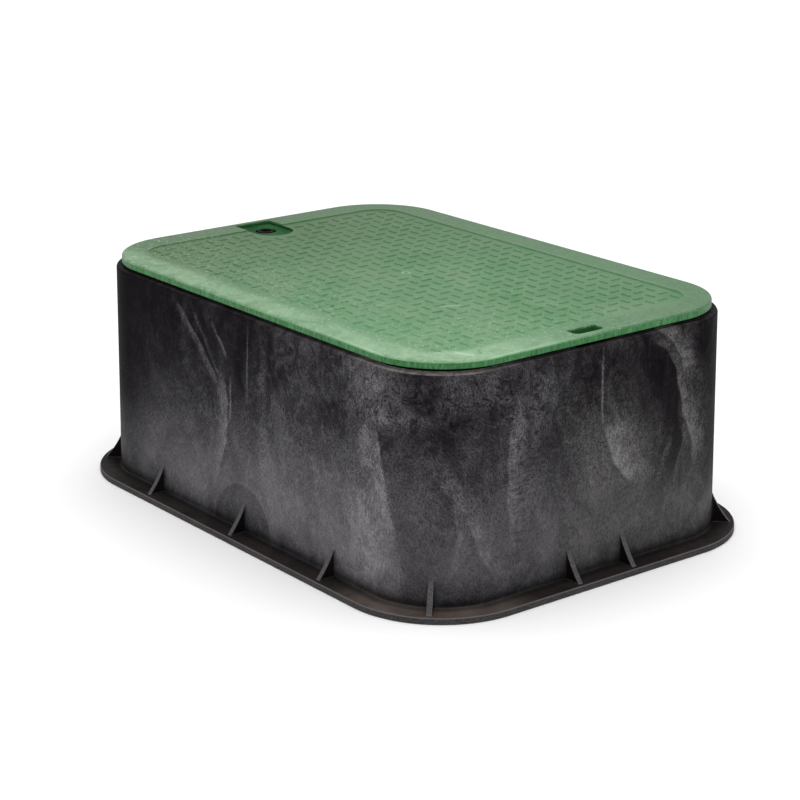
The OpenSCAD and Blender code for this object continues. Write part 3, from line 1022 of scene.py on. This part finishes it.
def lid_textures(g):
    """Places and noises that the parts of the lid's shader share."""
    t = SimpleNamespace()
    t.place = g.place_in_mm()
    t.x, t.y, t.z = g.split(t.place)
    t.beside_x = g.math("ABSOLUTE", t.x)
    t.beside_y = g.math("ABSOLUTE", t.y)
    t.facing_up = g.facing_up()
    t.speckle = g.noise(t.place, 0.55, 4, 0.7, 0.6)
    t.cloud = g.noise(t.place, 0.012, 5, 0.6, 1.2)
    t.blotch = g.noise(t.place, 0.05, 4, 0.65, 1.0)
    # Towards the near corner
    t.toward = g.math("SUBTRACT", t.x, t.y)
    # Distance outside the rectangle of the panel's corner centres
    over_x = g.math("MAXIMUM", g.math("SUBTRACT", t.beside_x, PANEL_CX / MM), 0.0)
    over_y = g.math("MAXIMUM", g.math("SUBTRACT", t.beside_y, PANEL_CY / MM), 0.0)
    t.reach = g.length(over_x, over_y)
    return t


def plate_colour(g, t):
    """Speckled green with dust, with painted shade far off and at the back and painted light at the near
    corner.
    """
    tone = g.scaled(t.speckle, 0.75, g.scaled(t.blotch, 0.25, g.times(t.cloud, 0.35)))
    colour = g.mix(g.ramp(tone, 0.53, 0.82), LID_DEEP, LID_GREEN)
    dust = g.times(g.ramp(t.cloud, 0.4, 0.66), g.ramp(t.speckle, 0.3, 0.7, 0.1, 0.55))
    colour = g.mix(dust, colour, LID_DUST)
    # Painted shade far off and at the back, painted light at the near corner
    colour = g.mix(g.ramp(t.x, 70, -216, 0.0, 0.86), colour, LID_FAR_SHADE)
    colour = g.mix(g.ramp(t.toward, 110, 300, 0.0, 0.36), colour, LID_NEAR_LIGHT)
    return g.mix(g.ramp(t.y, 10, 120, 0.0, 0.4), colour, LID_BACK_SHADE)


def border_colour(g, t, colour):
    """The border, paler along the near sides and darker elsewhere."""
    border = g.ramp(t.reach, 24, 32)
    near = g.math("MAXIMUM", g.ramp(t.y, -138, -118, 0.6, 0.0), g.ramp(t.toward, 180, 330, 0.0, 0.95))
    plain = g.times(border, g.scaled(near, -0.45, 0.45))
    colour = g.mix(plain, colour, BORDER_PLAIN)
    pale = g.times(border, near, g.ramp(t.blotch, 0.28, 0.66, 0.25, 1.0))
    return g.mix(pale, colour, BORDER_PALE)


def tread_colour(g, t, colour):
    """Darker at the dashes' feet, wear on their tops, a pale gate mark, and painted highlight specks on
    the near side.
    """
    top, panel = LID_TOP / MM, PANEL_Z / MM
    close = g.math("MAXIMUM", g.ramp(t.toward, 60, 240), g.ramp(t.y, 0, -110))
    foot_dark = g.band(t.z, panel + 0.03, panel + 0.12, panel + 0.5, panel + 0.75)
    foot_dark = g.times(foot_dark, g.below(t.reach, 24.5, 25.5), g.scaled(close, -0.35, 0.37))
    colour = g.mix(foot_dark, colour, DASH_FOOT_DARK)
    gate = g.band(g.length(t.x, t.y), 1.8, 2.5, 3.3, 4.4)
    colour = g.mix(g.times(gate, g.ramp(t.speckle, 0.3, 0.6, 0.3, 0.9)), colour, GATE_PALE)
    paler_tops = g.times(g.ramp(t.z, top - 0.45, top - 0.05), g.ramp(t.speckle, 0.46, 0.66, 0.0, 0.4))
    colour = g.mix(paler_tops, colour, DASH_WORN)
    # Painted highlight specks, mostly on the near side
    highlight_flecks = g.ramp(g.noise(t.place, 0.42, 3, 0.7, 0.3), 0.55, 0.66)
    return g.mix(g.times(highlight_flecks, g.scaled(close, 0.5, 0.06)), colour, FLECK_HIGHLIGHT)


def scuffed_colour(g, t, colour):
    for start, end, width, strength in SCUFFS:
        away = g.segment(t.x, t.y, start, end)
        scuff = g.times(g.below(away, width * 0.3, width), g.ramp(t.speckle, 0.3, 0.6, 0.4, 1.0))
        colour = g.mix(g.times(scuff, strength), colour, SCUFF_PALE)
    # Painted shade of small pits
    for x, y in PITS:
        away = g.segment(t.x, t.y, (x, y), (x, y + 1))
        colour = g.mix(g.ramp(away, 0.3, 1.3, 0.85, 0.0), colour, PIT_SHADE)
    return colour


def edge_colour(g, t, colour):
    """Fine upright streaks on the edge, painted darker than the top as its shade, and a painted highlight
    on its rounding at the near corner.
    """
    top = LID_TOP / MM
    # Painted shade: the upright edge is darker and more saturated than the top
    streak = g.noise(g.stretch(t.place, (1, 1, 0.2)), 0.6, 4, 0.75, 0.4)
    side = g.mix(g.ramp(streak, 0.36, 0.7), EDGE_SHADE_DEEP, EDGE_SHADE_GREEN)
    colour = g.mix(g.below(t.z, top - 2.2, top - 1.2), colour, side)
    # Painted highlight on the edge's rounding, strongest at the near corner
    rounding_highlight = g.times(g.ramp(t.reach, 49.6, 50.2), g.ramp(t.z, top - 1.3, top - 0.9))
    rounding_highlight = g.times(rounding_highlight, g.ramp(t.facing_up, 0.3, 0.5), g.ramp(t.toward, 190, 320, 0.06, 0.5))
    return g.mix(rounding_highlight, colour, EDGE_HIGHLIGHT)


def recess_colour(g, t, colour):
    """Deeper green, not faded by wear and darkened as painted shade, in the bolt recess and the pry slot,
    and painted near-black shade in the hollow under them.
    """
    top = LID_TOP / MM
    within = g.times(g.below(t.beside_y, 19, 20), g.below(t.beside_x, 213, 214))
    sunk = g.times(within, g.below(t.z, top - 1.9, top - 1.3))
    unworn_and_shaded = g.mix(g.ramp(t.blotch, 0.3, 0.7), RECESS_SHADE_DEEP, RECESS_SHADE_GREEN)
    unworn_and_shaded = g.mix(g.ramp(t.x, 150, 160), unworn_and_shaded, SLOT_SHADE_GREEN)
    # Painted shade in the recess and the slot, with their unfaded green
    colour = g.mix(sunk, colour, unworn_and_shaded)
    bolt_hole = g.times(g.below(t.z, top - 3.5, top - 3.1), g.below(t.x, 0, 10))
    hollow = g.math("MAXIMUM", bolt_hole, g.below(t.z, top - 5.9, top - 5.5))
    # Painted shade: the hollow under the recess and the slot is painted near black
    return g.mix(g.times(within, hollow), colour, HOLLOW_SHADE_BLACK), sunk


def lid_plastic():
    g = Graph("lid_plastic")
    t = lid_textures(g)
    colour = border_colour(g, t, plate_colour(g, t))
    colour = scuffed_colour(g, t, tread_colour(g, t, colour))
    colour, sunk = recess_colour(g, t, edge_colour(g, t, colour))
    g.feed(g.shader.inputs["Base Color"], colour)
    g.feed(g.shader.inputs["Roughness"], g.ramp(t.speckle, 0.3, 0.7, 0.42, 0.6))
    g.feed(g.shader.inputs["Specular IOR Level"], g.scaled(sunk, -0.24, 0.26))
    g.feed(g.shader.inputs["Normal"], g.bump(g.scaled(t.blotch, 0.6, t.speckle), 0.4, 0.0004))
    return g.material


# Stage

# Width of the floor in metres, and the room's light from the horizon up to straight overhead
FLOOR_SIZE = 24
ROOM_LIGHT = (0.62, 1.32)


def floor_material():
    g = Graph("floor_white")
    g.feed(g.shader.inputs["Base Color"], (0.95, 0.95, 0.95))
    g.feed(g.shader.inputs["Roughness"], 0.9)
    g.feed(g.shader.inputs["Specular IOR Level"], 0.0)
    return g.material


def make_stage():
    half = FLOOR_SIZE / 2
    corners = [(sx * half, sy * half, 0) for sx, sy in CORNERS]
    floor = make_object("floor", corners, [(0, 1, 2, 3)])
    floor.data.materials.append(floor_material())


def make_world():
    """White to the camera and to reflections, and to the rest a soft room, brighter overhead."""
    world = bpy.data.worlds.new("studio")
    bpy.context.scene.world = world
    world.use_nodes = True
    tree = world.node_tree
    tree.nodes.clear()
    output = tree.nodes.new("ShaderNodeOutputWorld")
    mix = tree.nodes.new("ShaderNodeMixShader")
    room = tree.nodes.new("ShaderNodeBackground")
    white = tree.nodes.new("ShaderNodeBackground")
    white.inputs[0].default_value = (1, 1, 1, 1)
    white.inputs[1].default_value = 1.0
    place = tree.nodes.new("ShaderNodeTexCoord")
    split = tree.nodes.new("ShaderNodeSeparateXYZ")
    rise = tree.nodes.new("ShaderNodeMapRange")
    for socket, value in zip(rise.inputs[1:5], (0.0, 1.0, *ROOM_LIGHT)):
        socket.default_value = value
    room.inputs[0].default_value = (1, 1, 1, 1)
    path = tree.nodes.new("ShaderNodeLightPath")
    seen = path.outputs["Is Camera Ray"]
    for kind in ("Is Glossy Ray", "Is Transmission Ray"):
        either = tree.nodes.new("ShaderNodeMath")
        either.operation = "MAXIMUM"
        tree.links.new(seen, either.inputs[0])
        tree.links.new(path.outputs[kind], either.inputs[1])
        seen = either.outputs[0]
    tree.links.new(place.outputs["Generated"], split.inputs[0])
    tree.links.new(split.outputs[2], rise.inputs[0])
    tree.links.new(rise.outputs[0], room.inputs[1])
    tree.links.new(seen, mix.inputs[0])
    tree.links.new(room.outputs[0], mix.inputs[1])
    tree.links.new(white.outputs[0], mix.inputs[2])
    tree.links.new(mix.outputs[0], output.inputs[0])


def area_light(name, place, target, size, watts):
    data = bpy.data.lights.new(name, "AREA")
    data.shape = "RECTANGLE"
    data.size, data.size_y = size
    data.energy = watts
    lamp = bpy.data.objects.new(name, data)
    lamp.location = place
    lamp.rotation_mode = "QUATERNION"
    lamp.rotation_quaternion = (Vector(target) - Vector(place)).to_track_quat("-Z", "Y")
    bpy.context.scene.collection.objects.link(lamp)
    return lamp


def make_lights():
    area_light("top_box", (0.0, 0.1, 1.7), (0, 0, 0.1), (1.6, 1.4), 7)
    area_light("front_box", (1.5, -1.3, 1.0), (0, 0, 0.1), (1.0, 1.0), 3)


def make_camera():
    az, el = math.radians(CAMERA_AZIMUTH), math.radians(CAMERA_ELEVATION)
    back = Vector((math.sin(az) * math.cos(el), -math.cos(az) * math.cos(el), math.sin(el)))
    right = Vector((math.cos(az), math.sin(az), 0))
    up = back.cross(right)
    target = Vector((0, 0, CAMERA_TARGET_Z)) + CAMERA_TARGET_RIGHT * right + CAMERA_TARGET_UP * up
    data = bpy.data.cameras.new("camera")
    data.sensor_width = SENSOR_MM
    data.lens = CAMERA_FOCAL * SENSOR_MM
    data.clip_start, data.clip_end = 0.05, 50
    camera = bpy.data.objects.new("camera", data)
    camera.rotation_mode = "QUATERNION"
    camera.location = target + back * CAMERA_DISTANCE
    camera.rotation_quaternion = (-back).to_track_quat("-Z", "Y")
    bpy.context.scene.collection.objects.link(camera)
    bpy.context.scene.camera = camera


def dress(obj, node, material):
    mesh = obj.data
    mesh.materials.clear()
    mesh.materials.append(material)
    mesh.polygons.foreach_set("material_index", [0] * len(mesh.polygons))
    shade(obj)
    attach(obj, "root")
    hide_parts(node)


make_camera()
make_stage()
make_world()
make_lights()
body = make_body()
map_walls(body)
dress(body, "box_body", body_plastic())
dress(make_lid(), "lid", lid_plastic())

scene = bpy.context.scene
scene.view_settings.view_transform = "Standard"
